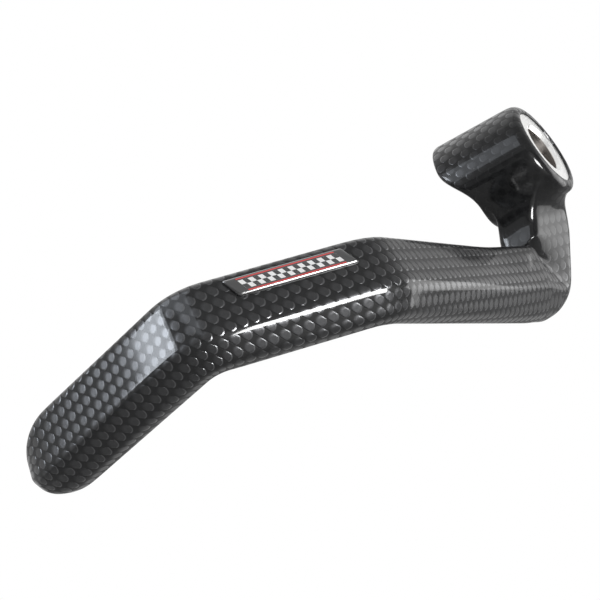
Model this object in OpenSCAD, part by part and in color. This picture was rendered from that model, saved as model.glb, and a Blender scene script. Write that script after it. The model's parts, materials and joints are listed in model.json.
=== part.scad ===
// Guard for a motorbike brake lever: a hub on the end of the handlebar, a leg that drops
// from it, and an arm that runs forward past the lever and turns in across its end.
// X runs along the bore, away from the handlebar. The arm runs forward along -Y. Z is up.
// The origin is on the bore's axis, 13.5 mm from the hub's inner end.

/* [Hub] */
// Length of the hub on the bore's outer side of the origin
hub_out = 12.5; // [10:0.5:16]
// Length of the hub on the bore's inner side of the origin
hub_in = 13.5; // [11:0.5:16]
// Radius of the hub at its outer end
hub_r_out = 13.9; // [13:0.1:15]
// Radius of the hub at its inner end
hub_r_in = 14.7; // [14.5:0.1:16.5]
// Height of the inner end's middle above the bore
hub_raise = 2.7; // [0:0.1:3]
// Set-back of the inner end's lower half
hub_scoop = 4.6; // [3:0.1:5.5]
// Height of the top of the set-back above the bore
scoop_top = 6; // [4:0.5:7]
// Height over which the inner end slopes to the set-back
scoop_slope = 11; // [9:0.5:12]
// Rounding of the hub's outer rim
hub_lip_r = 2.6; // [1.5:0.1:3]
// Rounding of the hub's inner rim
hub_edge_r = 1.2; // [0.6:0.1:2]

/* [Insert] */
// Outer diameter of the metal bush
insert_d = 21.4; // [18:0.1:22]
// Bore of the metal bush
bore_d = 13; // [10:0.1:15]
// Width of the chamfer at each mouth of the bore
bore_chamfer = 0.9; // [0.4:0.1:1.5]
// Depth of the bush's faces below the hub's outer rim
insert_sink = 0.6; // [0.2:0.1:1.5]
// Film of adhesive between the bush and its seat
bond_gap = 0.05; // [0.02:0.01:0.1]

/* [Leg] */
// Place of the leg's outer rear edge inside the hub, along the bore
leg_top_x = 11.5; // [10:0.1:12]
// Place of the leg's rear edge under the hub, front to back
leg_top_y = 10.2; // [8:0.1:11]
// Depth of the leg under the hub, front to back
leg_top_depth = 17; // [14:0.5:20]
// Thickness of the leg under the hub
leg_top_thick = 20.3; // [18:0.1:22]
// Thickness of the leg above the corner
leg_thick = 15.9; // [14:0.1:18]
// How much further back the leg's rear edge stands at its middle than at the corner
leg_flare = 3; // [0:0.1:3]
// Inward slant of the leg, along the bore for each unit of drop
leg_slant = 0.48; // [0.3:0.01:0.5]
// Depth of the leg above the corner, front to back
leg_depth = 13.2; // [12:0.1:18]
// Slope of the leg's outer face under the hub, seen from above
leg_top_lean = 8; // [0:1:12]
// Slope of the leg's outer face above the corner, seen from above
leg_lean = 16; // [8:1:20]
// Outward lean of the arm's upper face where it leaves the corner
corner_lean = 6; // [0:1:10]
// Length of the arm over which that lean fades
corner_twist = 26; // [15:1:40]
// Rounding inside the corner between the leg and the arm
corner_in_r = 1.2; // [0.8:0.1:3]

/* [Arm] */
// Drop from the bore to the ridge at the corner
ridge_drop = 36; // [32:0.5:42]
// Place of the ridge at the corner, along the bore
ridge_x = -2.1; // [-5:0.1:0]
// Place of the ridge's rear end, front to back
ridge_y = 5.2; // [2:0.1:8]
// Length of the strut between the corner and the first bend
strut_len = 97; // [85:1:110]
// Heading of the strut, inward from straight ahead
strut_heading = 3.1; // [0:0.1:8]
// Fall of the strut over its length
strut_fall = 2.4; // [0:0.2:5]
// Turn at the first bend
bend_1 = 43.3; // [30:0.1:50]
// Radius of the ridge round the first bend
bend_1_r = 16; // [12:1:24]
// Length of the middle between the two bends
middle_len = 46.5; // [42:0.5:56]
// Rise of the middle over its length
middle_rise = 4.4; // [0:0.2:6]
// Turn at the second bend
bend_2 = 50.9; // [40:0.1:55]
// Radius of the ridge round the second bend
bend_2_r = 17; // [14:1:26]
// Length of the tip beyond the second bend
tip_len = 60; // [50:0.5:66]
// Fall of the tip over its length
tip_fall = 2.4; // [0:0.2:6]
// Rake of the tip's end: how much less far its top reaches than its bottom
tip_rake = 2; // [0:0.5:6]
// Rounding of the ridge at the end of the tip
tip_ridge_r = 4.5; // [3:0.1:5]
// Length over which the tip rounds off
tip_round = 13; // [8:0.5:14]

/* [Arm section] */
// Height of the upper face above the ridge
face_h = 13.6; // [12:0.2:17]
// Backward lean of the upper face
face_lean = 5.6; // [0:0.1:12]
// Depth of the lower face below the ridge
low_h = 5; // [4:0.2:7]
// Undercut angle of the lower face
low_angle = 43; // [30:1:45]
// Thickness at the top edge
top_thick = 8.5; // [7.5:0.1:10]
// Thickness at the bottom edge
low_thick = 10.5; // [9.5:0.1:12]
// Rounding of the top edge
top_r = 2.3; // [2:0.1:3.2]
// Rounding of the bottom edge
low_r = 3; // [2:0.1:3.2]
// Rounding of the ridge
ridge_r = 1.6; // [0.8:0.1:2.5]

/* [Label] */
// Length of the label
label_len = 27; // [20:0.5:28]
// Width of the label
label_w = 4.5; // [4:0.1:5]
// Thickness of the label's dome
label_t = 1; // [0.6:0.1:1.5]
// Slant of the label's ends, along the arm
label_slant = 2.5; // [0:0.1:4]
// Distance of the label's lower edge from the ridge
label_up = 7; // [5:0.1:7.2]
// Place of the label's middle along the straight length, from the first bend
label_along = 0.44; // [0.4:0.01:0.6]
// Film of adhesive under the label
label_gap = 0.05; // [0.02:0.01:0.1]

/* [Hidden] */
$fn = 96;
x_axis = [1, 0, 0];
z_axis = [0, 0, 1];

// Small helpers
function mix(a, b, t) = a + (b - a) * t;
function ease(t) = t * t * (3 - 2 * t);
function clamp01(t) = max(0, min(1, t));
function unit(v) = v / norm(v);

// One corner of a rounded outline: an arc of n points round vertex v, counter-clockwise
function corner_arc(before, v, after, r, n) =
    let (
        to_before = unit(before - v),
        to_after = unit(after - v),
        half = acos(max(-1, min(1, to_before * to_after))) / 2,
        room = 0.49 * min(norm(before - v), norm(after - v)),
        rr = min(r, room * tan(half)),
        centre = v + unit(to_before + to_after) * rr / sin(half),
        foot = v + to_before * rr / tan(half) - centre,
        start = atan2(foot[1], foot[0]),
        sweep = 180 - 2 * half
    )
    [for (i = [0:n - 1]) centre + rr * [cos(start + sweep * i / (n - 1)), sin(start + sweep * i / (n - 1))]];

// Outline of the guard cut across: the ridge is at [0, 0], the outer side faces +x
function outline(face, lean, low, angle, t_top, t_low, r_top, r_low, r_ridge) =
    let (
        v = [
            [0, 0],
            [-face * tan(lean), face],
            [-t_top, face],
            [-t_low, -low],
            [-low * tan(angle), -low]
        ],
        radii = [r_ridge, r_top, r_top, r_low, r_low],
        counts = [5, 8, 7, 7, 7]
    )
    [for (k = [0:4]) each corner_arc(v[(k + 4) % 5], v[k], v[(k + 1) % 5], radii[k], counts[k])];

// Puts an outline in space: its ridge at origin, its x along outward, its y along upward
function placed(points, origin, outward, upward) =
    [for (p = points) origin + p[0] * outward + p[1] * upward];

// The arm's plan: two bends between three straight lengths
tan_1 = bend_1_r * tan(bend_1 / 2);
tan_2 = bend_2_r * tan(bend_2 / 2);
arc_1 = bend_1_r * bend_1 * PI / 180;
arc_2 = bend_2_r * bend_2 * PI / 180;
s_1 = strut_len - tan_1;
s_2 = s_1 + arc_1;
s_3 = s_2 + middle_len - tan_1 - tan_2;
s_4 = s_3 + arc_2;
s_end = s_4 + tip_len - tan_2;
slope_strut = -strut_fall / strut_len;
slope_middle = middle_rise / middle_len;
slope_tip = -tip_fall / tip_len;

function heading(s) =
    strut_heading + bend_1 * clamp01((s - s_1) / arc_1) + bend_2 * clamp01((s - s_3) / arc_2);
function ahead(a) = [-sin(a), -cos(a), 0];
function outward(a) = [cos(a), -sin(a), 0];

// Slope of the ridge, which changes evenly round each bend
function slope(s) =
    mix(mix(slope_strut, slope_middle, clamp01((s - s_1) / arc_1)), slope_tip, clamp01((s - s_3) / arc_2));

// A bend's start, and the ridge's place after a straight length or round a bend
function along(p, a, slope_here, d) = p + d * (ahead(a) + slope_here * z_axis);
function round_bend(p, a, r, turn, slope_a, slope_b, d) =
    let (now = turn * d / (r * turn * PI / 180), arc = r * turn * PI / 180)
    p + r * (outward(a + now) - outward(a))
      + (slope_a * d + (slope_b - slope_a) * d * d / (2 * arc)) * z_axis;

p_0 = [ridge_x, ridge_y, -ridge_drop];
a_1 = strut_heading;
a_2 = a_1 + bend_1;
a_3 = a_2 + bend_2;
p_1 = along(p_0, a_1, slope_strut, s_1);
p_2 = round_bend(p_1, a_1, bend_1_r, bend_1, slope_strut, slope_middle, arc_1);
p_3 = along(p_2, a_2, slope_middle, s_3 - s_2);
p_4 = round_bend(p_3, a_2, bend_2_r, bend_2, slope_middle, slope_tip, arc_2);

function ridge(s) =
    s < s_1 ? along(p_0, a_1, slope_strut, s)
    : s < s_2 ? round_bend(p_1, a_1, bend_1_r, bend_1, slope_strut, slope_middle, s - s_1)
    : s < s_3 ? along(p_2, a_2, slope_middle, s - s_2)
    : s < s_4 ? round_bend(p_3, a_2, bend_2_r, bend_2, slope_middle, slope_tip, s - s_3)
    : along(p_4, a_3, slope_tip, s - s_4);

// The arm's outline turns upright beyond the corner, then stays the same, until it rounds off at the tip
function arm_outline(s) =
    outline(face_h, mix(-corner_lean, face_lean, ease(clamp01((s - arm_start) / corner_twist))),
        low_h, low_angle, top_thick, low_thick, top_r, low_r,
        mix(ridge_r, tip_ridge_r, ease(clamp01(1 - (s_end - s) / tip_round))));
tip_centre = [-low_thick / 2, (face_h - low_h) / 2];
function tip_scale(s) = let (d = clamp01((s_end - s) / tip_round)) sqrt(max(0, 1 - (1 - d) * (1 - d)));
function arm_ring(s) =
    let (
        rake = tip_rake * pow(clamp01((s - s_4) / (s_end - s_4)), 2) / (face_h + low_h),
        shape = [for (p = arm_outline(s)) tip_centre + (p - tip_centre) * tip_scale(s)],
        upright = z_axis - rake * ahead(heading(s))
    )
    placed(shape, ridge(s) + rake * tip_centre[1] * ahead(heading(s)), outward(heading(s)), upright);

// The corner: outlines fan round a pivot just inside it
pivot_y = ridge_y + corner_in_r - leg_depth;
pivot = [0, pivot_y - 2 * corner_in_r, -ridge_drop + face_h + corner_in_r];
reach_leg = leg_depth + corner_in_r;
reach_arm = face_h + corner_in_r;
leg_low = 2.5;
corner_power = 6;
corner_power_low = 2.8;
function squircle(a, b, power, t) = 1 / pow(pow(cos(t) / a, power) + pow(sin(t) / b, power), 1 / power);
arm_start = ridge_y - pivot[1];
arm_x = ridge(arm_start)[0];
leg_bottom_x = arm_x + leg_slant * reach_arm;
leg_inner_x = leg_bottom_x - leg_thick;
function corner_ring(t) =
    let (
        flare = leg_flare * pow(1 - t / 90, 2),
        r = squircle(reach_leg, reach_arm, corner_power, t) + flare,
        r_low = squircle(reach_leg + leg_low, reach_arm + low_h, corner_power_low, t) + flare,
        k = t / 90,
        radial = [0, cos(t), -sin(t)],
        x = arm_x + leg_slant * (reach_arm - r * sin(t)),
        top_x = mix(leg_inner_x, arm_x - top_thick, k),
        low_x = mix(leg_inner_x, arm_x - low_thick, k)
    )
    placed(outline(r - corner_in_r, mix(leg_lean, -corner_lean, k), max(1, r_low - r), low_angle,
            x - top_x, x - low_x, top_r, low_r, ridge_r),
        pivot + r * radial + [x, 0, 0], x_axis, -radial);

// The leg: level outlines from inside the hub down to the corner
leg_top_z = -4;
leg_bottom = pivot + [leg_bottom_x, reach_leg + leg_flare, 0];
function leg_ring(k) =
    let (e = ease(k))
    placed(outline(mix(leg_top_depth, leg_depth + leg_flare, e), mix(leg_top_lean, leg_lean, e),
            leg_low, low_angle,
            mix(leg_top_thick, leg_thick, e), mix(leg_top_thick, leg_thick, e), top_r, low_r, ridge_r),
        mix([leg_top_x, leg_top_y, leg_top_z], leg_bottom, k),
        x_axis, [0, -1, 0]);

// Every ring of the moulding, from inside the hub to the end of the tip
leg_rings = [for (i = [0:9]) leg_ring(i / 10)];
corner_rings = [for (t = [0:9:90]) corner_ring(t)];
straight_step = 8;
bend_step = 2.5;
function steps(a, b, step) = let (n = max(1, ceil((b - a) / step))) [for (i = [0:n - 1]) a + (b - a) * i / n];
arm_places = concat(
    steps(arm_start + 6, s_1, straight_step),
    steps(s_1, s_2, bend_step),
    steps(s_2, s_3, straight_step),
    steps(s_3, s_4, bend_step),
    steps(s_4, s_end - tip_round, straight_step),
    [for (i = [0:10]) s_end - tip_round * (1 - sin(i * 8.9))]
);
rings = concat(leg_rings, corner_rings, [for (s = arm_places) arm_ring(s)]);

module skin(rings) {
    n = len(rings[0]);
    m = len(rings);
    polyhedron(
        points = [for (r = rings) each r],
        faces = concat(
            [[for (j = [0:n - 1]) j]],
            [for (i = [0:m - 2]) for (j = [0:n - 1]) each [
                [i * n + j, (i + 1) * n + j, (i + 1) * n + (j + 1) % n],
                [i * n + j, (i + 1) * n + (j + 1) % n, i * n + (j + 1) % n]
            ]],
            [[for (j = [0:n - 1]) (m - 1) * n + n - 1 - j]]
        ),
        convexity = 8
    );
}

// Turns a revolved shape from the Z axis to the bore's axis
module on_bore() {
    rotate([0, 90, 0]) children();
}

module hub_rim(r, edge_r, x, z) {
    translate([x, 0, z]) on_bore() rotate_extrude($fn = 40)
        translate([r - edge_r, 0]) circle(edge_r, $fn = 32);
}

// The space cleared below the inner end, seen along the arm
module scoop() {
    far = 3 * hub_r_in;
    rotate([90, 0, 0]) linear_extrude(far, center = true)
        offset(r = hub_edge_r, $fn = 40) offset(delta = -hub_edge_r) polygon([
            [-far, scoop_top],
            [-hub_in, scoop_top],
            [-hub_in + hub_scoop, scoop_top - scoop_slope],
            [-hub_in + hub_scoop, -far],
            [-far, -far]
        ]);
}

// The hub widens and rises towards its inner end, whose lower half is set back
module hub_body() {
    difference() {
        hull() {
            hub_rim(hub_r_out, hub_lip_r, hub_out - hub_lip_r, 0);
            hub_rim(hub_r_in, hub_edge_r, -hub_in + hub_edge_r, hub_raise);
        }
        scoop();
    }
}

module carbon_guard() {
    color("#2c2e30") difference() {
        union() {
            hub_body();
            skin(rings);
        }
        on_bore() cylinder(h = 3 * (hub_in + hub_out), d = insert_d + 2 * bond_gap, center = true);
    }
}

module bar_end_insert() {
    r = bore_d / 2;
    low = -hub_in + hub_scoop + insert_sink;
    high = hub_out - insert_sink;
    color("#d8d8d6") on_bore() rotate_extrude() polygon([
        [r + bore_chamfer, low],
        [insert_d / 2, low],
        [insert_d / 2, high],
        [r + bore_chamfer, high],
        [r, high - bore_chamfer],
        [r, low + bore_chamfer]
    ]);
}

// The label lies on the flat upper face of the middle length
module on_middle_face() {
    s = mix(s_2, s_3, label_along);
    a = heading(s);
    forward = unit(ahead(a) + slope_middle * z_axis);
    upward = unit(-sin(face_lean) * outward(a) + cos(face_lean) * z_axis);
    proud = unit(cross(upward, forward));
    across = cross(forward, proud);
    at = ridge(s);
    multmatrix([for (i = [0:2]) [-forward[i], across[i], proud[i], at[i]]]) children();
}

module domed_label() {
    bevel = 0.7;
    module plan(inset) {
        offset(r = 0.5) offset(delta = -0.5 - inset) polygon([
            [-label_len / 2, 0],
            [label_len / 2, 0],
            [label_len / 2 - label_slant, label_w],
            [-label_len / 2 - label_slant, label_w]
        ]);
    }
    color("#151515") on_middle_face() translate([0, label_up, label_gap]) hull() {
        linear_extrude(label_t * 0.4) plan(0);
        linear_extrude(label_t * 0.8) plan(bevel * 0.4);
        linear_extrude(label_t) plan(bevel);
    }
}

carbon_guard();
bar_end_insert();
domed_label();
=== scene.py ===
# %% [markdown]
# # Guard for a motorbike brake lever
# The object is one gloss carbon-fibre moulding. A round hub is held at the end of the handlebar, a leg
# drops from it, and a flat arm runs forward past the brake lever and turns in across its end. A metal
# bush lines the hub, and a small domed label sits on the arm's front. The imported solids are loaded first
# and give the frame: X runs along the bore away from the handlebar, the arm runs forward along -Y, and Z is
# up. Blender works in metres. Sizes are written in millimetres, and MM turns them into metres. Lamps and
# names that end in _M are in metres already.

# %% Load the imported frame
import math
import bpy
import bmesh
from mathutils import Matrix, Vector
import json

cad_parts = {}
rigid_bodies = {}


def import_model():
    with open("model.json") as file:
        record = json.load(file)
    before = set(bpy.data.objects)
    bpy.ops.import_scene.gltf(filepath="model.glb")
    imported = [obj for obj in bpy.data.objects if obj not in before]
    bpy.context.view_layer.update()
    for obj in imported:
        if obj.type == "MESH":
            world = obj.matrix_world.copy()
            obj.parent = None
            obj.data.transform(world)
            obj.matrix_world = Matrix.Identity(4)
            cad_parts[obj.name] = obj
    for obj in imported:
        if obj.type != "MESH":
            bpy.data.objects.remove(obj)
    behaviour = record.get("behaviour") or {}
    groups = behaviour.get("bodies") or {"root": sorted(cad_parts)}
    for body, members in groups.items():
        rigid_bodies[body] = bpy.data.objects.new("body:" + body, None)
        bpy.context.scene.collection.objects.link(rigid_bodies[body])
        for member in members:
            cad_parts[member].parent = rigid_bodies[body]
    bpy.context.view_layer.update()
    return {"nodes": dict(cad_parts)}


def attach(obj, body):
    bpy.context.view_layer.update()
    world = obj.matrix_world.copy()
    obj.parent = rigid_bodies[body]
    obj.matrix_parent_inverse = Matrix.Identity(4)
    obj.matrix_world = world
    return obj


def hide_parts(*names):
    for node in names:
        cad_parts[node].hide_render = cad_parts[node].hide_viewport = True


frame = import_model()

# %% [markdown]
# ## Camera
# The camera comes first, because every later look is judged through it. Its place was worked out from the
# photograph: the ring of the bush gives one direction, the arm's three straight lengths give the rest.
# It stands a little below the arm and is rolled to one side, so the hub is at the upper right. Its focal
# length is measured in the photograph's own pixels.

# %% Camera
MM = 0.001
PHOTO_SIDE_PX, FOCAL_PX = 600, 1467.9

camera_place = Vector((96.0, -367.6, -129.7)) * MM
view_right = Vector((0.7445, 0.5025, -0.4396))
view_up = Vector((0.5384, -0.0625, 0.8404))
view_back = Vector((0.3948, -0.8623, -0.3170))

camera_data = bpy.data.cameras.new("photo_camera")
camera_data.lens = FOCAL_PX / PHOTO_SIDE_PX * camera_data.sensor_width
camera_data.clip_start = 0.01
camera_data.clip_end = 20
camera = bpy.data.objects.new("photo_camera", camera_data)
bpy.context.scene.collection.objects.link(camera)
turn = Matrix((view_right, view_up, view_back)).transposed().to_4x4()
camera.matrix_world = Matrix.Translation(camera_place) @ turn
bpy.context.scene.camera = camera
bpy.context.scene.view_settings.view_transform = "Standard"
print("lens mm:", round(camera_data.lens, 1))

# %% [markdown]
# ## Small helpers
# Edit-mode operators act on all that is selected. The CAD nodes are selected after loading, so each piece
# starts with everything deselected, and rings of vertices are then picked out in code.

# %% Helpers for picking and finishing
def deselect_all():
    for other in bpy.context.scene.objects:
        other.select_set(False)
    bpy.context.view_layer.objects.active = None


def only(piece):
    deselect_all()
    piece.select_set(True)
    bpy.context.view_layer.objects.active = piece


def begin_piece(name):
    """Name the object that an operator has just added, and pick it alone."""
    piece = bpy.context.active_object
    piece.name = piece.data.name = name
    only(piece)
    return piece


def report(piece):
    box = [Vector(corner) for corner in piece.bound_box]
    size = [1000 * (max(c[k] for c in box) - min(c[k] for c in box)) for k in range(3)]
    print(piece.name, len(piece.data.polygons), "faces,", [round(v, 1) for v in size], "mm")


def mix(a, b, t):
    return a + (b - a) * t


def clamp(t):
    return max(0.0, min(1.0, t))


def ease(t):
    """0 up to 0, 1 from 1, and a smooth step between them."""
    t = clamp(t)
    return t * t * (3 - 2 * t)


# %% [markdown]
# ## The arm's path
# Seen from above, the ridge of the arm is three straight lengths joined by two round bends. The path is
# measured by the distance travelled from the corner under the hub, in millimetres, as a pipe bender would
# note it: so far straight on, so many degrees round, so far again.

# %% Path of the ridge
RIDGE_START = Vector((-2.1, 5.2, -36.0))
STRUT, MIDDLE, TIP = 97.0, 46.5, 60.0
HEADING, BEND_1, BEND_2 = 3.1, 43.3, 50.9
BEND_1_R, BEND_2_R = 16.0, 17.0
SLOPES = (-2.4 / STRUT, 4.4 / MIDDLE, -2.4 / TIP)
STEPS_PER_MM = 10
SPARE_STEPS = 12

cut_1 = BEND_1_R * math.tan(math.radians(BEND_1 / 2))
cut_2 = BEND_2_R * math.tan(math.radians(BEND_2 / 2))
arc_1 = BEND_1_R * math.radians(BEND_1)
arc_2 = BEND_2_R * math.radians(BEND_2)
S1 = STRUT - cut_1
S2 = S1 + arc_1
S3 = S2 + MIDDLE - cut_1 - cut_2
S4 = S3 + arc_2
S_END = S4 + TIP - cut_2


def heading(s):
    return HEADING + BEND_1 * clamp((s - S1) / arc_1) + BEND_2 * clamp((s - S3) / arc_2)


def ahead(s):
    a = math.radians(heading(s))
    return Vector((-math.sin(a), -math.cos(a), 0))


def outward(s):
    a = math.radians(heading(s))
    return Vector((math.cos(a), -math.sin(a), 0))


def slope(s):
    first = mix(SLOPES[0], SLOPES[1], clamp((s - S1) / arc_1))
    return mix(first, SLOPES[2], clamp((s - S3) / arc_2))


UP = Vector((0, 0, 1))
ridge_places = [RIDGE_START]
for step in range(int(S_END * STEPS_PER_MM) + SPARE_STEPS):
    middle_of_step = (step + 0.5) / STEPS_PER_MM
    travel = ahead(middle_of_step) + slope(middle_of_step) * UP
    ridge_places.append(ridge_places[-1] + travel / STEPS_PER_MM)


def ridge(s):
    whole = min(int(s * STEPS_PER_MM), len(ridge_places) - 2)
    return ridge_places[whole].lerp(ridge_places[whole + 1], s * STEPS_PER_MM - whole)


print("path length mm:", round(S_END, 1), "end at", [round(v, 1) for v in ridge(S_END)])

# %% [markdown]
# ## The arm's outline
# Cut across, the arm is a rounded pentagon. A tall upper face leans back a little, a short lower face is
# undercut, and the ridge between them runs the whole length and catches the light. The outline has 34
# points: each corner is an arc, with one more point just beyond each end of it, so that the flat faces stay
# flat when the surface is subdivided. The arc's radius shrinks where a side is too short for it.

# %% Outline of the arm
FACE_H, FACE_LEAN, LOW_H, LOW_ANGLE = 13.6, 5.6, 5.0, 43.0
TOP_T, LOW_T = 8.5, 10.5
RIDGE_R, TIP_RIDGE_R, TOP_R, LOW_R = 3.2, 4.5, 2.3, 3.0
ARC_POINTS = (5, 5, 5, 5, 4)
LARGEST_SHARE_OF_SIDE = 0.4
FLAT_FROM = 1.35


def arc_points(before, corner, after, r, count):
    to_before = (before - corner).normalized()
    to_after = (after - corner).normalized()
    half = to_before.angle(to_after) / 2
    room = LARGEST_SHARE_OF_SIDE * min((before - corner).length, (after - corner).length)
    r = min(r, room * math.tan(half))
    centre = corner + (to_before + to_after).normalized() * r / math.sin(half)
    reach = r / math.tan(half)
    start = corner + to_before * reach - centre
    sweep = math.pi - 2 * half
    points = [corner + to_before * reach * FLAT_FROM]
    for i in range(count):
        t = sweep * i / (count - 1)
        turned = Vector((start.x * math.cos(t) - start.y * math.sin(t),
                         start.x * math.sin(t) + start.y * math.cos(t)))
        points.append(centre + turned)
    points.append(corner + to_after * reach * FLAT_FROM)
    return points


def outline(face, lean, low, low_angle, top_t, low_t, ridge_r=RIDGE_R):
    corners = [Vector((0, 0)),
               Vector((-face * math.tan(math.radians(lean)), face)),
               Vector((-top_t, face)),
               Vector((-low_t, -low)),
               Vector((-low * math.tan(math.radians(low_angle)), -low))]
    roundings = (ridge_r, TOP_R, TOP_R, LOW_R, LOW_R)
    points = []
    for k in range(5):
        points += arc_points(corners[k - 1], corners[k], corners[(k + 1) % 5], roundings[k], ARC_POINTS[k])
    return points


COUNT = len(outline(FACE_H, FACE_LEAN, LOW_H, LOW_ANGLE, TOP_T, LOW_T))
print("points in the outline:", COUNT)


def placed(points, origin, across, up):
    return [origin + p.x * across + p.y * up for p in points]


# %% [markdown]
# ## Outlines along the moulding
# The outline goes down the leg, fans round the sharp inside of the corner, and then follows the ridge. At
# the top of the leg its points are spaced evenly, to meet the hub's. Near the corner the upper face stands
# more upright, because it runs on from the leg's outer side. The tip is rounded by shrinking the last
# outlines about their middle, as a quarter circle does.

# %% Outlines of leg, corner and arm
X_AXIS = Vector((1, 0, 0))
CORNER_R, CORNER_LEAN, CORNER_TWIST = 1.2, 6.0, 26.0
FACE_SQUARENESS, LOW_SQUARENESS = 6, 2.8
LEG_DEPTH, LEG_FLARE, LEG_SLANT, LEG_THICK, LEG_LEAN, LEG_LOW = 13.2, 3.0, 0.48, 15.9, 16.0, 2.5
LEG_TOP, LEG_TOP_DEPTH, LEG_TOP_THICK, LEG_TOP_LEAN = Vector((11.5, 10.2, -4)), 17, 20.3, 8.0
TIP_RAKE, TIP_ROUND = 2.0, 13.0
reach_leg, reach_arm = LEG_DEPTH + CORNER_R, FACE_H + CORNER_R
pivot = Vector((0, RIDGE_START.y - CORNER_R - LEG_DEPTH, RIDGE_START.z + FACE_H + CORNER_R))
arm_start = RIDGE_START.y - pivot.y
arm_x = ridge(arm_start).x
leg_x = arm_x + LEG_SLANT * reach_arm
leg_inner_x = leg_x - LEG_THICK


def squircle(a, b, power, t):
    return 1 / ((math.cos(t) / a) ** power + (math.sin(t) / b) ** power) ** (1 / power)


def corner_outline(degrees):
    t = math.radians(min(degrees, 89.99))
    k = degrees / 90
    flare = LEG_FLARE * (1 - k) ** 2
    r = squircle(reach_leg, reach_arm, FACE_SQUARENESS, t) + flare
    r_low = squircle(reach_leg + LEG_LOW, reach_arm + LOW_H, LOW_SQUARENESS, t) + flare
    radial = Vector((0, math.cos(t), -math.sin(t)))
    x = arm_x + LEG_SLANT * (reach_arm - r * math.sin(t))
    top_t = x - mix(leg_inner_x, arm_x - TOP_T, k)
    low_t = x - mix(leg_inner_x, arm_x - LOW_T, k)
    shape = outline(r - CORNER_R, mix(LEG_LEAN, -CORNER_LEAN, k), max(1, r_low - r), LOW_ANGLE, top_t, low_t)
    return placed(shape, pivot + r * radial + x * X_AXIS, X_AXIS, -radial)


def leg_outline(k):
    e = ease(k)
    bottom = pivot + Vector((leg_x, reach_leg + LEG_FLARE, 0))
    thick = mix(LEG_TOP_THICK, LEG_THICK, e)
    depth = mix(LEG_TOP_DEPTH, LEG_DEPTH + LEG_FLARE, e)
    shape = outline(depth, mix(LEG_TOP_LEAN, LEG_LEAN, e), LEG_LOW, LOW_ANGLE, thick, thick)
    return placed(shape, LEG_TOP.lerp(bottom, k), X_AXIS, Vector((0, -1, 0)))


def evened(points, weight):
    """The same closed outline, with its points moved towards even spacing by the weight."""
    lengths = [0.0]
    for i in range(COUNT):
        lengths.append(lengths[-1] + (points[(i + 1) % COUNT] - points[i]).length)
    centre_of_first_arc = 3
    result = []
    for i in range(COUNT):
        want = lengths[centre_of_first_arc] + lengths[-1] * (i - centre_of_first_arc) / COUNT
        want = mix(lengths[i], want, weight) % lengths[-1]
        j = max(n for n in range(COUNT) if lengths[n] <= want)
        t = (want - lengths[j]) / (lengths[j + 1] - lengths[j])
        result.append(points[j].lerp(points[(j + 1) % COUNT], t))
    return result


def arm_outline(s):
    lean = mix(-CORNER_LEAN, FACE_LEAN, ease((s - arm_start) / CORNER_TWIST))
    left = clamp((S_END - s) / TIP_ROUND)
    ridge_r = mix(RIDGE_R, TIP_RIDGE_R, ease(1 - left))
    shape = outline(FACE_H, lean, LOW_H, LOW_ANGLE, TOP_T, LOW_T, ridge_r)
    size = math.sqrt(max(0, 1 - (1 - left) ** 2))
    middle = Vector((-LOW_T / 2, (FACE_H - LOW_H) / 2))
    shape = [middle + (p - middle) * size for p in shape]
    rake = TIP_RAKE * clamp((s - S4) / (S_END - S4)) ** 2 / (FACE_H + LOW_H)
    origin = ridge(s) + rake * middle.y * ahead(s)
    return placed(shape, origin, outward(s), UP - rake * ahead(s))


def evenly(a, b, step):
    n = max(1, math.ceil((b - a) / step))
    return [a + (b - a) * i / n for i in range(n)]


STRAIGHT_STEP, BEND_STEP = 6, 2.2
places = evenly(arm_start + 5, S1 - 1, STRAIGHT_STEP) + evenly(S1 - 1, S2 + 1, BEND_STEP)
places += evenly(S2 + 1, S3 - 1, STRAIGHT_STEP) + evenly(S3 - 1, S4 + 1, BEND_STEP)
places += evenly(S4 + 1, S_END - TIP_ROUND, STRAIGHT_STEP)
places += [S_END - TIP_ROUND * (1 - math.sin(math.radians(i * 10))) for i in range(9)]
leg_places = [0.76, 0.82, 0.88, 0.94]
evenness = [1.0, 0.7, 0.4, 0.15]
corner_degrees = [0, 12, 24, 36, 45, 54, 66, 78, 90]
outlines = [evened(leg_outline(k), weight) for k, weight in zip(leg_places, evenness)]
outlines += [corner_outline(t) for t in corner_degrees]
outlines += [arm_outline(s) for s in places]
print("outlines along the moulding:", len(outlines))

# %% [markdown]
# ## Extruding the moulding
# A circle with one vertex for each point is the first outline. It is extruded once for each next outline,
# and the new ring of vertices is set on that outline's points. Each vertex carries its number round the
# outline, which the extrusion copies, so that the rings never twist. The tip is closed with a fan of faces
# drawn in to a point.

# %% Extrude the leg, the corner and the arm
deselect_all()
bpy.ops.mesh.primitive_circle_add(vertices=COUNT, radius=0.01)
guard = begin_piece("lacquered_guard")
bpy.ops.object.mode_set(mode="EDIT")
edit = bmesh.from_edit_mesh(guard.data)
number = edit.verts.layers.int.new("number")
for i, vert in enumerate(edit.verts):
    vert[number] = i


def set_ring(points):
    edit = bmesh.from_edit_mesh(guard.data)
    number = edit.verts.layers.int["number"]
    for vert in edit.verts:
        if vert.select:
            vert.co = points[vert[number] % COUNT] * MM
    bmesh.update_edit_mesh(guard.data)


bpy.ops.mesh.select_all(action="SELECT")
set_ring(outlines[0])
for points in outlines[1:]:
    bpy.ops.mesh.extrude_region_move()
    set_ring(points)
bpy.ops.mesh.extrude_region_move()
bpy.ops.mesh.merge(type="CENTER")
bpy.ops.object.mode_set(mode="OBJECT")
report(guard)

# %% [markdown]
# ## The hub
# The hub is made like a napkin ring: a profile of wall, rounded lip and seat is spun round the bore. It
# widens towards its inner end. A window of faces is then left out underneath, with as many edges as the
# leg's outline has.

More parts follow.
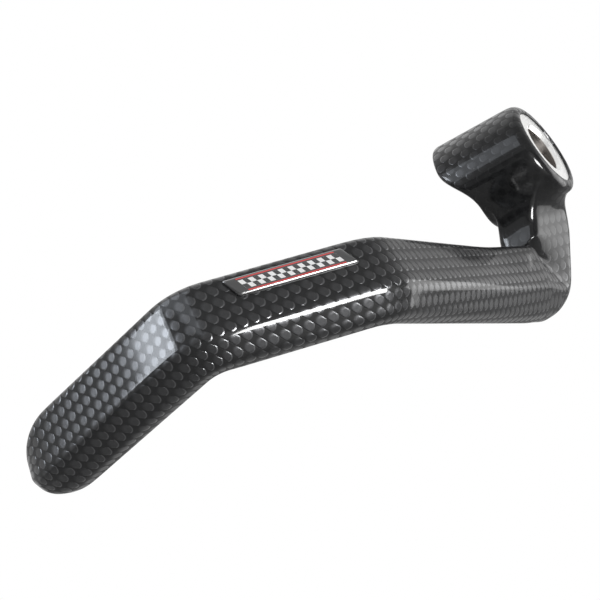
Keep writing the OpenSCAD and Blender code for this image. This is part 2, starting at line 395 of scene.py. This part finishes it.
# %% Profile of the hub, spun round the bore
HUB_OUT, HUB_IN, R_OUT, R_IN, RAISE, LIP, SEAT_R = 12.5, 13.5, 13.9, 14.7, 2.7, 2.6, 10.75
SEGMENTS = 48
beyond_seat_r = SEAT_R + 0.6
wall = [-12.3, -11.0, -7.0, -2.5, 2.0, 6.3, 8.9]


def wall_r(x):
    return mix(R_OUT, R_IN, (HUB_OUT - x) / (HUB_OUT + HUB_IN))


profile = [(-12.9, SEAT_R), (-13.4, SEAT_R + 0.35), (-13.5, 12.0), (-13.5, 13.4), (-13.3, 14.25)]
profile += [(x, wall_r(x)) for x in wall]
for degrees in (0, 22, 45, 67, 90):
    t = math.radians(degrees)
    profile.append((HUB_OUT - LIP + LIP * math.sin(t), R_OUT - LIP + LIP * math.cos(t)))
profile += [(12.25, SEAT_R + 0.1), (11.6, SEAT_R), (10.5, SEAT_R), (0.0, SEAT_R)]

deselect_all()
bpy.ops.mesh.primitive_circle_add(vertices=len(profile), radius=0.01)
hub = begin_piece("hub_ring")
for vert, (x, r) in zip(hub.data.vertices, profile):
    vert.co = Vector((x, 0, -r)) * MM
bpy.ops.object.mode_set(mode="EDIT")
bpy.ops.mesh.select_all(action="SELECT")
bpy.ops.mesh.spin(steps=SEGMENTS, angle=math.tau, center=(0, 0, 0), axis=(1, 0, 0))
bpy.ops.mesh.select_all(action="SELECT")
bpy.ops.mesh.normals_make_consistent(inside=False)
bpy.ops.object.mode_set(mode="OBJECT")
report(hub)

# %% Leave out the window for the leg
HALF_WINDOW_DEGREES = 45.5
only(hub)
bpy.ops.object.mode_set(mode="EDIT")
edit = bmesh.from_edit_mesh(hub.data)
for face in edit.faces:
    middle = face.calc_center_median() / MM
    angle = abs(math.degrees(math.atan2(middle.y, -middle.z)))
    on_wall = math.hypot(middle.y, middle.z) > beyond_seat_r
    face.select_set(on_wall and angle < HALF_WINDOW_DEGREES and wall[1] < middle.x < wall[6])
bmesh.update_edit_mesh(hub.data)
print("faces in the window:", sum(f.select for f in edit.faces))
bpy.ops.mesh.delete(type="FACE")
bpy.ops.object.mode_set(mode="OBJECT")

# %% [markdown]
# The spun ring is still a plain one. Its wall is now raised towards the inner end, and its vertices are
# squeezed along the bore where the lower half of that end is set back to clear the lever's perch. At the
# very bottom the set-back is a little less. The seat stays round and true, because the bush fits it.

# %% Raise and set back the inner end
SET_BACK, SET_BACK_TOP, SET_BACK_SLOPE = 4.7, 6.5, 12.5
RETURN, RETURN_TOP, RETURN_SLOPE = 1.3, -6, 6


def inner_limit(z):
    set_back = SET_BACK * ease((SET_BACK_TOP - z) / SET_BACK_SLOPE)
    return set_back - HUB_IN - RETURN * ease((RETURN_TOP - z) / RETURN_SLOPE)


for vert in hub.data.vertices:
    x, y, z = vert.co / MM
    r = math.hypot(y, z)
    k = (HUB_OUT - x) / (HUB_OUT + HUB_IN)
    if r > beyond_seat_r:
        z += RAISE * k
    x = HUB_OUT - (HUB_OUT - x) * (HUB_OUT - inner_limit(z)) / (HUB_OUT + HUB_IN)
    vert.co = Vector((x, y, z)) * MM

report(hub)

# %% [markdown]
# ## Joining hub and leg
# The two open loops, the window's and the leg's, have the same number of edges. A bridge between them, with
# cuts and smoothness, gives the soft fillet that a moulding has there, where two crossing solids would
# leave a hard line.

# %% Bridge the leg to the hub
only(guard)
hub.select_set(True)
bpy.ops.object.join()
bpy.ops.object.mode_set(mode="EDIT")
bpy.ops.mesh.select_all(action="DESELECT")
bpy.ops.mesh.select_mode(type="EDGE")
edit = bmesh.from_edit_mesh(guard.data)
for edge in edit.edges:
    edge.select_set(edge.is_boundary)
bmesh.update_edit_mesh(guard.data)
print("open edges to bridge:", sum(e.select for e in edit.edges))
bpy.ops.mesh.bridge_edge_loops(type="PAIRS", number_cuts=2, interpolation="SURFACE", smoothness=0.5)
bpy.ops.mesh.select_all(action="SELECT")
bpy.ops.mesh.normals_make_consistent(inside=False)
edit = bmesh.from_edit_mesh(guard.data)
print("open edges left:", sum(e.is_boundary for e in edit.edges))
bpy.ops.object.mode_set(mode="OBJECT")
report(guard)

# %% [markdown]
# ## Cloth coordinates
# The carbon cloth wraps round the arm, so its pattern needs coordinates that follow the surface: how far
# along the arm, and how far round its outline. On the hub they are turned by 45 degrees, so that the tows
# run along the bore and round it. On the leg and the corner, where a real lay-up is patched, each side is
# simply laid flat. The cloth's join is put on the hidden back face, after the outline's point 20. The UV
# map holds millimetres, a hundred to one unit.

# %% Number the cloth coordinates on the cage
section = outline(FACE_H, FACE_LEAN, LOW_H, LOW_ANGLE, TOP_T, LOW_T)
round_at = [0.0]
for i in range(COUNT):
    round_at.append(round_at[-1] + (section[(i + 1) % COUNT] - section[i]).length)
BACK_SEAM = 20
HUB_CLOTH_R = 14.2
ARM_TOP_Z, HUB_LOW_Z, HUB_LOWEST_Z = -19, -12, -14.8
MM_PER_UNIT = 100
half_root = math.sqrt(0.5)
arm_faces = hub_faces = 0
cloth = guard.data.uv_layers.new(name="cloth")
numbers = guard.data.attributes["number"].data


def nearest_s(place):
    """Distance along the path of the outline that a point of the arm belongs to."""
    def misfit(n):
        offset = place - ridge_places[n]
        return abs(offset.dot(ahead(n / STEPS_PER_MM))) + 0.2 * offset.length

    best = min(range(0, len(ridge_places), 4), key=misfit)
    s = best / STEPS_PER_MM
    return s + (place - ridge_places[best]).dot(ahead(s))


vertex_s = {}
for poly in guard.data.polygons:
    middle = poly.center / MM
    corners = [(loop, guard.data.loops[loop].vertex_index) for loop in poly.loop_indices]
    places = [guard.data.vertices[v].co / MM for _, v in corners]
    on_arm = middle.y < RIDGE_START.y - arm_start - 2 and middle.z < ARM_TOP_Z
    on_hub = middle.z > HUB_LOW_Z and all(p.z > HUB_LOWEST_Z for p in places) and not on_arm
    side = poly.normal
    spans_seam = {BACK_SEAM, BACK_SEAM + 1} <= {numbers[v].value for _, v in corners}
    for (loop, vertex), place in zip(corners, places):
        if on_arm:
            if vertex not in vertex_s:
                vertex_s[vertex] = nearest_s(place)
            n = numbers[vertex].value
            past_seam = n > BACK_SEAM and not spans_seam
            value = (vertex_s[vertex], round_at[n] - (round_at[COUNT] if past_seam else 0))
        elif on_hub and abs(side.x) < 0.8:
            angle = math.atan2(place.y, place.z)
            if abs(angle - math.atan2(middle.y, middle.z)) > math.pi:
                angle += math.tau if angle < 0 else -math.tau
            round_bore = HUB_CLOTH_R * angle
            value = ((place.x + round_bore) * half_root, (place.x - round_bore) * half_root)
        elif abs(side.x) > max(abs(side.y), abs(side.z)):
            value = (RIDGE_START.y - place.y, place.z - RIDGE_START.z)
        elif abs(side.y) > abs(side.z):
            value = (place.x, place.z - RIDGE_START.z)
        else:
            value = (place.x, place.y)
        cloth.data[loop].uv = (value[0] / MM_PER_UNIT, value[1] / MM_PER_UNIT)
    arm_faces += on_arm
    hub_faces += on_hub
print("faces laid along the arm:", arm_faces, "and round the hub:", hub_faces)

# %% Smooth the cage
only(guard)
smoothing = guard.modifiers.new("Smoothing", "SUBSURF")
smoothing.levels = smoothing.render_levels = 2
bpy.ops.object.modifier_apply(modifier=smoothing.name)
bpy.ops.object.shade_smooth()
report(guard)
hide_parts("carbon_guard")
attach(guard, "root")

# %% [markdown]
# ## The domed label
# The label is a thin printed strip under a clear dome. Its place is measured on the arm's upper face: a
# slanted four-sided plan, extruded by the film's thickness, then raised to a dome in steps, each a little
# higher and drawn in a little more.

# %% Model the label
LABEL_LEN, LABEL_W, LABEL_SLANT, LABEL_UP, LABEL_SHARE = 27.0, 4.5, 2.5, 7.0, 0.44
LABEL_GAP, LABEL_FILM, LABEL_CORNER = 0.05, 0.3, 0.5
DOME_STEPS = ((0.1, 0.22), (0.25, 0.2), (0.45, 0.12), (0.8, 0.08), (1.3, 0.03))
PRINT_MM_PER_UNIT = 10
label_s = mix(S2, S3, LABEL_SHARE)
forward = (ahead(label_s) + SLOPES[1] * UP).normalized()
lean = math.radians(FACE_LEAN)
upward = (-math.sin(lean) * outward(label_s) + math.cos(lean) * UP).normalized()
proud = upward.cross(forward).normalized()
across = forward.cross(proud)
label_seat = Matrix((-forward, across, proud)).transposed().to_4x4()
label_seat.translation = ridge(label_s) * MM

deselect_all()
bpy.ops.mesh.primitive_plane_add(size=1)
label = begin_piece("domed_label_piece")
plan = [(-LABEL_LEN / 2, 0), (LABEL_LEN / 2, 0),
        (-LABEL_LEN / 2 - LABEL_SLANT, LABEL_W), (LABEL_LEN / 2 - LABEL_SLANT, LABEL_W)]
for vert, (x, y) in zip(label.data.vertices, plan):
    vert.co = Vector((x, y + LABEL_UP, LABEL_GAP)) * MM
bpy.ops.object.mode_set(mode="EDIT")
bpy.ops.mesh.select_all(action="SELECT")
bpy.ops.mesh.bevel(offset=LABEL_CORNER * MM, segments=4, affect="VERTICES")
bpy.ops.mesh.extrude_region_move(TRANSFORM_OT_translate={"value": (0, 0, LABEL_FILM * MM)})
label_middle = Vector((-LABEL_SLANT / 2, LABEL_UP + LABEL_W / 2, 0)) * MM
drawn_in = 0.0
for inset, rise in DOME_STEPS:
    factors = [(side - 2 * inset) / (side - 2 * drawn_in) for side in (LABEL_LEN, LABEL_W)]
    bpy.ops.mesh.extrude_region_move(TRANSFORM_OT_translate={"value": (0, 0, rise * MM)})
    bpy.ops.transform.resize(value=(factors[0], factors[1], 1), center_override=label_middle)
    drawn_in = inset
bpy.ops.mesh.select_all(action="SELECT")
bpy.ops.mesh.normals_make_consistent(inside=False)
bpy.ops.object.mode_set(mode="OBJECT")
print_map = label.data.uv_layers.new(name="print")
for loop in label.data.loops:
    co = label.data.vertices[loop.vertex_index].co / MM
    up = co.y - LABEL_UP
    along = co.x + LABEL_SLANT * up / LABEL_W
    print_map.data[loop.index].uv = (along / PRINT_MM_PER_UNIT, up / PRINT_MM_PER_UNIT)
label.data.transform(label_seat)
bpy.ops.object.shade_smooth_by_angle(angle=math.radians(50))
report(label)
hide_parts("domed_label")
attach(label, "root")

# %% [markdown]
# ## Shader arithmetic
# The finishes are patterns worked out from coordinates. A small class wraps a socket, so that a pattern can
# be written as ordinary arithmetic, and each operation adds its Math node. Other nodes come from one method.

# %% A wrapper for sockets
class Wire:
    def __init__(self, tree, socket):
        self.tree, self.socket = tree, socket

    def math(self, operation, other=None):
        node = self.tree.nodes.new("ShaderNodeMath")
        node.operation = operation
        for slot, value in enumerate((self, other)):
            if isinstance(value, Wire):
                self.tree.links.new(value.socket, node.inputs[slot])
            elif value is not None:
                node.inputs[slot].default_value = value
        return Wire(self.tree, node.outputs[0])

    def __add__(self, other):
        return self.math("ADD", other)

    def __sub__(self, other):
        return self.math("SUBTRACT", other)

    def __mul__(self, other):
        return self.math("MULTIPLY", other)

    def __truediv__(self, other):
        return self.math("DIVIDE", other)

    def __rsub__(self, other):
        return self.math("MULTIPLY", -1.0) + other

    __radd__ = __add__
    __rmul__ = __mul__

    def clip(self):
        return self.math("MAXIMUM", 0.0).math("MINIMUM", 1.0)

    def between(self, low, high):
        """0 below low, 1 above high, and smooth from one to the other."""
        t = ((self - low) / (high - low)).clip()
        return t * t * (3.0 - 2.0 * t)


class Finish:
    """A material with its Principled shader, and a method that adds any other node."""

    def __init__(self, name, **constants):
        self.material = bpy.data.materials.new(name)
        self.material.use_nodes = True
        self.tree = self.material.node_tree
        self.shader = next(n for n in self.tree.nodes if n.type == "BSDF_PRINCIPLED")
        for key, value in constants.items():
            self.shader.inputs[key.replace("_", " ")].default_value = value

    def node(self, kind, output=0, settings=None, **inputs):
        """Inputs are given by name, or by number as i0, i1 and so on."""
        node = self.tree.nodes.new(kind)
        for key, value in (settings or {}).items():
            setattr(node, key, value)
        for key, value in inputs.items():
            numbered = key[0] == "i" and key[1:].isdigit()
            socket = node.inputs[int(key[1:]) if numbered else key]
            if isinstance(value, Wire):
                self.tree.links.new(value.socket, socket)
            else:
                socket.default_value = value
        return Wire(self.tree, node.outputs[output])

    def colours(self, factor, first, second):
        """The first colour where the factor is 0, the second where it is 1."""
        return self.node("ShaderNodeMix", 2, {"data_type": "RGBA"}, i0=factor, i6=first, i7=second)

    def feed(self, socket, wire):
        self.tree.links.new(wire.socket, self.shader.inputs[socket])

    def bump(self, height, distance, strength=1.0):
        normal = self.node("ShaderNodeBump", Height=height, Distance=distance, Strength=strength)
        self.feed("Normal", normal)

    def axes(self, wire):
        split = self.tree.nodes.new("ShaderNodeSeparateXYZ")
        self.tree.links.new(wire.socket, split.inputs[0])
        return [Wire(self.tree, out) for out in split.outputs]

    def put_on(self, piece):
        piece.data.materials.clear()
        piece.data.materials.append(self.material)


# %% [markdown]
# ## Carbon cloth under clear lacquer
# Plain-weave cloth is a checkerboard of tows, each about 2 mm wide and at about 45 degrees to the arm. The
# tows of one direction show as lighter ovals in rows, each row half a step from the next. An oval ends
# sharply on the side towards the hub, with a thin painted glint there, and its colour fades on the other as
# painted shading. Round the foot of the hub the resin lies thick and hides the cloth. The lacquer over it
# all is smooth, so it is a coat on the shader.

# %% The rows of the cloth
ROWS_PER_MM_ALONG, ROWS_PER_MM_ROUND = 0.346, 0.327
TOWS_PER_MM_ALONG, TOWS_PER_MM_ROUND = 0.397, 0.352
OBJECT_COORDINATES = 3

carbon = Finish("lacquered_carbon", Specular_IOR_Level=0.05,
                Coat_Weight=0.38, Coat_Roughness=0.07, Coat_IOR=1.45)
cloth_uv = carbon.node("ShaderNodeUVMap", settings={"uv_map": "cloth"})
place = carbon.node("ShaderNodeTexCoord", OBJECT_COORDINATES)
u, v, _ = carbon.axes(cloth_uv)
u, v = u * MM_PER_UNIT, v * MM_PER_UNIT
drift = carbon.node("ShaderNodeTexNoise", i0=place, Scale=55.0, Detail=2.0) - 0.5
a = u * ROWS_PER_MM_ALONG - v * ROWS_PER_MM_ROUND + drift * 0.4
b = u * TOWS_PER_MM_ALONG + v * TOWS_PER_MM_ROUND + drift * 0.3
row = a.math("FLOOR")
across_row = (a - row) * 2.0 - 1.0
along_row = ((b + row) * 0.5 + 0.75).math("FRACT") * 2.0 - 1.0
row_mm = 1 / math.hypot(ROWS_PER_MM_ALONG, ROWS_PER_MM_ROUND)
oval_mm = 2 / math.hypot(TOWS_PER_MM_ALONG, TOWS_PER_MM_ROUND)
print("mm from row to row:", round(row_mm, 1), "and from oval to oval:", round(oval_mm, 1))

# %% Their height, tone, painted shading and painted glint
rounding = across_row.math("POWER", 2.0)
hub_side = along_row - rounding * 0.3
far_side = along_row + rounding * 0.3
# The ovals are the weave's pattern. The fade of their colour away from the hub is painted shading.
oval = hub_side.between(-0.78, -0.55) * (1.0 - far_side.between(0.15, 0.85))
# Painted glint: a thin bright line on the hub side of each oval, put into the colour and the metal.
painted_glint = hub_side.between(-0.8, -0.7) * (1.0 - hub_side.between(-0.68, -0.52))
seam = 1.0 - 0.45 * rounding.between(0.6, 1.0)
fibres = carbon.node("ShaderNodeTexNoise", i0=place, Scale=1500.0, Detail=2.0)
FOOT = Vector((6, -9, -13)) * MM
THICK_RESIN_M = (0.010, 0.034)
RESIN_BLACK, TOW_GREY = (0.002, 0.0021, 0.0024, 1), (0.12, 0.121, 0.125, 1)
TOW_HEIGHT_M = 0.00008
offsets = [wire - foot for wire, foot in zip(carbon.axes(place), FOOT)]
from_foot = sum(offset * offset for offset in offsets).math("SQRT")
cloth_shows = from_foot.between(*THICK_RESIN_M) * 0.85 + 0.15
# The colour holds the painted glint and the ovals' painted shading.
shade = (oval * 0.2 + painted_glint * 0.38 + 0.06) * seam * (0.75 + 0.5 * fibres) * cloth_shows
carbon.feed("Base Color", carbon.colours(shade.clip(), RESIN_BLACK, TOW_GREY))
carbon.feed("Metallic", (oval * 0.7 + painted_glint * 0.6).clip() * cloth_shows)
carbon.feed("Roughness", 0.55 - 0.24 * (oval + painted_glint).clip())
carbon.bump((oval + 0.4) * seam * cloth_shows, TOW_HEIGHT_M)
carbon.put_on(guard)
print("carbon nodes:", len(carbon.tree.nodes))

# %% [markdown]
# ## Machined aluminium
# The bush is turned on a lathe. Very fine rings round the bore scatter the light, so its brightness runs
# in bands. The rings are a pattern of the distance from the bore's axis and along it. A little noise varies
# the roughness and the grey. The bore's own wall is painted darker and warmer than the face, as painted
# shade inside the bore.

# %% The aluminium finish
RING_RADIANS_PER_M, RING_HEIGHT_M = 9000.0, 0.00001
BORE_EDGE_M = (0.0064, 0.0067)
FACE_LIGHT, FACE_DARK, BORE_SHADE = (0.74, 0.74, 0.73, 1), (0.58, 0.58, 0.57, 1), (0.22, 0.19, 0.17, 1)

metal = Finish("machined_aluminium", Metallic=1.0)
place = metal.node("ShaderNodeTexCoord", OBJECT_COORDINATES)
x, y, z = metal.axes(place)
radius = (y * y + z * z).math("SQRT")
# Where the painted shade of the bore's wall goes: inside the bore's edge.
painted_bore_shade = 1.0 - radius.between(*BORE_EDGE_M)
turned = ((radius + x) * RING_RADIANS_PER_M).math("SINE") * 0.5 + 0.5
patches = metal.node("ShaderNodeTexNoise", i0=place, Scale=420.0, Detail=3.0)
metal.feed("Roughness", 0.22 + 0.16 * patches)
face_colour = metal.colours(patches * 0.5, FACE_LIGHT, FACE_DARK)
# Painted shade: the bore's wall gets a darker, warmer colour than the face.
metal.feed("Base Color", metal.colours(painted_bore_shade, face_colour, BORE_SHADE))
metal.bump(turned, RING_HEIGHT_M, strength=0.5)
metal.put_on(frame["nodes"]["bar_end_insert"])
print("metal nodes:", len(metal.tree.nodes))

# %% [markdown]
# ## The label's print
# The print is plain trim of no maker: on a black ground, two rows of small white chequer squares with a thin
# red line on each side of them. Everything is measured in millimetres from the label's own map.

# %% The label finish
SQUARE, HALF_PRINT, SOFT_EDGE = 1.1, 11.0, 0.04
BLACK, WHITE, RED = (0.006, 0.006, 0.007, 1), (0.85, 0.85, 0.85, 1), (0.62, 0.012, 0.012, 1)

resin = Finish("label_resin", Roughness=0.3, Coat_Weight=1.0, Coat_Roughness=0.02, Coat_IOR=1.5)
along, up, _ = resin.axes(resin.node("ShaderNodeUVMap", settings={"uv_map": "print"}))
along, up = along * PRINT_MM_PER_UNIT, up * PRINT_MM_PER_UNIT


def inside(wire, low, high):
    rising = wire.between(low - SOFT_EDGE, low + SOFT_EDGE)
    return rising * (1.0 - wire.between(high - SOFT_EDGE, high + SOFT_EDGE))


squares = ((along / SQUARE).math("FLOOR") + (up / SQUARE).math("FLOOR") - 1.0) * 0.5
printed = inside(along, -HALF_PRINT, HALF_PRINT)
white = squares.math("FRACT") * 2.0 * printed * inside(up, SQUARE, 3 * SQUARE)
red = printed * (inside(up, 0.5, 0.8) + inside(up, 3.6, 3.9))
resin.feed("Base Color", resin.colours(red.clip(), resin.colours(white.clip(), BLACK, WHITE), RED))
resin.put_on(label)
print("label nodes:", len(resin.tree.nodes))

# %% [markdown]
# ## Floor, background and light
# The photograph is a cut-out on white, seen a little from below, so the floor lies well under the part and
# below the camera, which would otherwise look at its underside. The background is white for the rays that
# the Light Path node marks as camera, glossy or transmission rays, and dimmer for the rest. The light is a
# soft studio: broad lamps above and in front, and small panels that the lacquer mirrors at the second bend,
# along the middle ridge, on the hub and on the leg.

# %% Floor
FLOOR_SIDE_M, FLOOR_Z_M = 30, -0.2
deselect_all()
bpy.ops.mesh.primitive_plane_add(size=FLOOR_SIDE_M, location=(0, 0, FLOOR_Z_M))
floor = begin_piece("studio_floor")
bpy.ops.object.transform_apply(location=True, rotation=True, scale=True)
paper = Finish("pale_floor", Roughness=0.9, Specular_IOR_Level=0.0, Base_Color=(0.8, 0.8, 0.8, 1))
paper.put_on(floor)
print("floor:", FLOOR_SIDE_M, "m wide,", -FLOOR_Z_M, "m below the bore")

# %% World
DIM, WHITE_LEVEL = 0.35, 1.0
world = bpy.data.worlds.new("studio_world")
bpy.context.scene.world = world
world.use_nodes = True
tree = world.node_tree
tree.nodes.clear()
path = tree.nodes.new("ShaderNodeLightPath")
camera_ray, glossy_ray, passing_ray = [
    Wire(tree, path.outputs[name]) for name in ("Is Camera Ray", "Is Glossy Ray", "Is Transmission Ray")]
sees_white = camera_ray.math("MAXIMUM", glossy_ray.math("MAXIMUM", passing_ray))
blend = tree.nodes.new("ShaderNodeMixShader")
tree.links.new(sees_white.socket, blend.inputs[0])
for slot, strength in ((1, DIM), (2, WHITE_LEVEL)):
    ground = tree.nodes.new("ShaderNodeBackground")
    ground.inputs["Color"].default_value = (1, 1, 1, 1)
    ground.inputs["Strength"].default_value = strength
    tree.links.new(ground.outputs[0], blend.inputs[slot])
out = tree.nodes.new("ShaderNodeOutputWorld")
tree.links.new(blend.outputs[0], out.inputs[0])
print("world nodes:", len(tree.nodes))


# %% Lights
def panel(name, aim, azimuth, elevation, distance, size, radiance,
          colour=(1, 1, 1), lights="all", spread=180):
    """A panel that faces the aim, given in mm, from a direction in degrees. Its distance and size are in
    metres. A spread under 180 degrees gathers the same power, so that it is brighter straight ahead."""
    data = bpy.data.lights.new(name, "AREA")
    data.shape = "RECTANGLE"
    data.size, data.size_y = size
    data.energy = radiance * size[0] * size[1] * math.pi
    data.color = colour
    data.spread = math.radians(spread)
    lamp = bpy.data.objects.new(name, data)
    bpy.context.scene.collection.objects.link(lamp)
    az, el = math.radians(azimuth), math.radians(elevation)
    direction = Vector((math.cos(el) * math.cos(az), math.cos(el) * math.sin(az), math.sin(el)))
    lamp.location = Vector(aim) * MM + direction * distance
    lamp.rotation_mode = "QUATERNION"
    lamp.rotation_quaternion = direction.to_track_quat("Z", "Y")
    lamp.visible_camera = False
    lamp.visible_diffuse = lights != "gloss"
    lamp.visible_glossy = lights != "matt"


BEND, RIDGE, LEG, HUB = (-50, -121, -29), (-20, -104, -37), (5, 6, -20), (3, -14, 3)
BLUISH = (0.86, 0.92, 1.0)
# Each panel: name, aim, azimuth, elevation, distance, size, radiance
panel("top_panel", (0, -60, 0), 90, 80, 0.9, (0.9, 0.9), 0.8)
panel("floor_panel", (0, -60, -200), 0, 90, 2.4, (3.0, 3.0), 0.8, lights="matt")
panel("front_panel", (0, -60, -20), -60, 30, 1.1, (0.8, 0.8), 2.2, lights="matt")
panel("window_panel", BEND, -128.5, 29, 0.8, (0.29, 0.2), 24.0, BLUISH, lights="gloss")
panel("curtain_panel", BEND, -115, 29, 0.8, (0.08, 0.2), 11.0, BLUISH, lights="gloss")
panel("leg_panel", LEG, 40, -14, 0.2, (0.15, 0.2), 1.5, spread=90)
panel("hub_panel", HUB, -104, 27, 0.25, (0.17, 0.13), 3.6, BLUISH, lights="gloss")
panel("ridge_panel", RIDGE, -20, -36, 0.16, (0.104, 0.07), 80.0, lights="gloss")

# %% End of the script
import json
